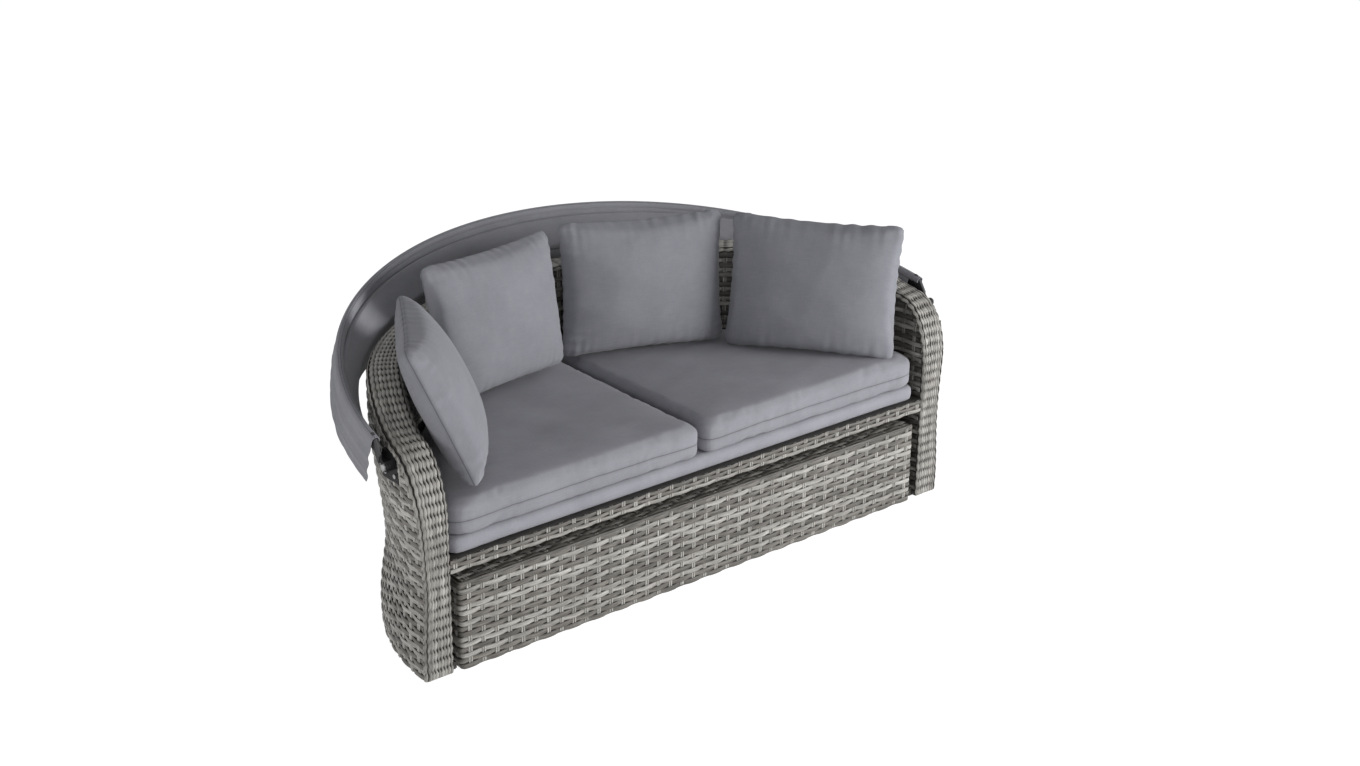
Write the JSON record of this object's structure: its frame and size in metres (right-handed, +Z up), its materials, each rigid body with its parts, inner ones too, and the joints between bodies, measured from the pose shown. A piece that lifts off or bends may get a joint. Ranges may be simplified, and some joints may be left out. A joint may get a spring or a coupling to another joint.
{
  "type": "outdoor daybed with canopy",
  "caption": "Half-oval woven garden daybed with curved arms and back, pull-out footstool, deep cushions, scatter pillows and a folding fabric canopy on curved ribs.",
  "frame": {"origin": "on the floor, in the middle of the footprint of the whole daybed with its canopy folded back and the footstool in", "axes": "+X to the right arm as seen from the front, +Y to the back, +Z up; metres"},
  "size_m": [1.8794, 0.9484, 0.8479],
  "materials": {
    "weave": "grey-beige woven flat strands, satin",
    "frame_steel": "dark grey powder coat",
    "glide_plastic": "black moulded plastic",
    "cushion_cloth": "mid grey plain-woven outdoor fabric",
    "canopy_steel": "black powder coat, satin",
    "canopy_cloth": "dark grey outdoor fabric",
    "bright_steel": "zinc plated"
  },
  "bodies": {
    "sofa": {"left_arm_weave": "weave", "right_arm_weave": "weave", "back_weave": "weave", "front_rail_weave": "weave", "seat_deck": "weave", "left_floor_sill": "weave", "right_floor_sill": "weave", "left_arm_frame": "frame_steel", "right_arm_frame": "frame_steel", "back_frame": "frame_steel", "seat_ring": "frame_steel", "seat_bar_1": "frame_steel", "seat_bar_2": "frame_steel", "seat_bar_3": "frame_steel", "seat_bar_4": "frame_steel", "left_glide_1": "glide_plastic", "right_glide_1": "glide_plastic", "left_glide_2": "glide_plastic", "right_glide_2": "glide_plastic", "left_glide_3": "glide_plastic", "right_glide_3": "glide_plastic", "left_glide_4": "glide_plastic", "right_glide_4": "glide_plastic", "lower_pad": "cushion_cloth", "seat_cushion_right": "cushion_cloth", "seat_cushion_left": "cushion_cloth", "pillow_left_arm": "cushion_cloth", "pillow_left_back": "cushion_cloth", "pillow_right_back": "cushion_cloth", "pillow_right_arm": "cushion_cloth", "canopy_rib_1": "canopy_steel", "left_canopy_bracket": "canopy_steel", "right_canopy_bracket": "canopy_steel", "canopy_slack_fold": "canopy_cloth", "left_bracket_screw_1": "bright_steel", "right_bracket_screw_1": "bright_steel", "left_bracket_screw_2": "bright_steel", "right_bracket_screw_2": "bright_steel", "left_pivot_bolt": "bright_steel", "right_pivot_bolt": "bright_steel"},
    "footstool": {"footstool_weave": "weave", "footstool_lid": "weave", "footstool_frame": "frame_steel", "footstool_leg_1": "frame_steel", "footstool_leg_2": "frame_steel", "footstool_leg_3": "frame_steel", "footstool_leg_4": "frame_steel", "footstool_leg_5": "frame_steel", "footstool_glide_1": "glide_plastic", "footstool_glide_2": "glide_plastic", "footstool_glide_3": "glide_plastic", "footstool_glide_4": "glide_plastic", "footstool_glide_5": "glide_plastic"},
    "second_rib": {"canopy_rib_2": "canopy_steel", "canopy_panel_1": "canopy_cloth"},
    "third_rib": {"canopy_rib_3": "canopy_steel", "canopy_panel_2": "canopy_cloth"},
    "front_rib": {"canopy_rib_4": "canopy_steel", "canopy_panel_3": "canopy_cloth", "canopy_front_band": "canopy_cloth"}
  },
  "joints": [
    {"name": "footstool_slide", "type": "slide", "parent": "sofa", "child": "footstool", "axis": [0, -1, 0], "range_m": [0, 0.7]},
    {"name": "canopy_opening", "type": "hinge", "parent": "sofa", "child": "second_rib", "pos_m": [0, -0.38419, 0.565], "axis": [1, 0, 0], "range_deg": [0, 35]},
    {"name": "third_rib_opening", "type": "hinge", "parent": "second_rib", "child": "third_rib", "pos_m": [0, -0.38419, 0.565], "axis": [1, 0, 0], "range_deg": [0, 35]},
    {"name": "front_rib_opening", "type": "hinge", "parent": "third_rib", "child": "front_rib", "pos_m": [0, -0.38419, 0.565], "axis": [1, 0, 0], "range_deg": [0, 35]}
  ],
  "couplings": [
    {"joint": "third_rib_opening", "follows": "canopy_opening", "ratio": 1},
    {"joint": "front_rib_opening", "follows": "canopy_opening", "ratio": 1}
  ]
}
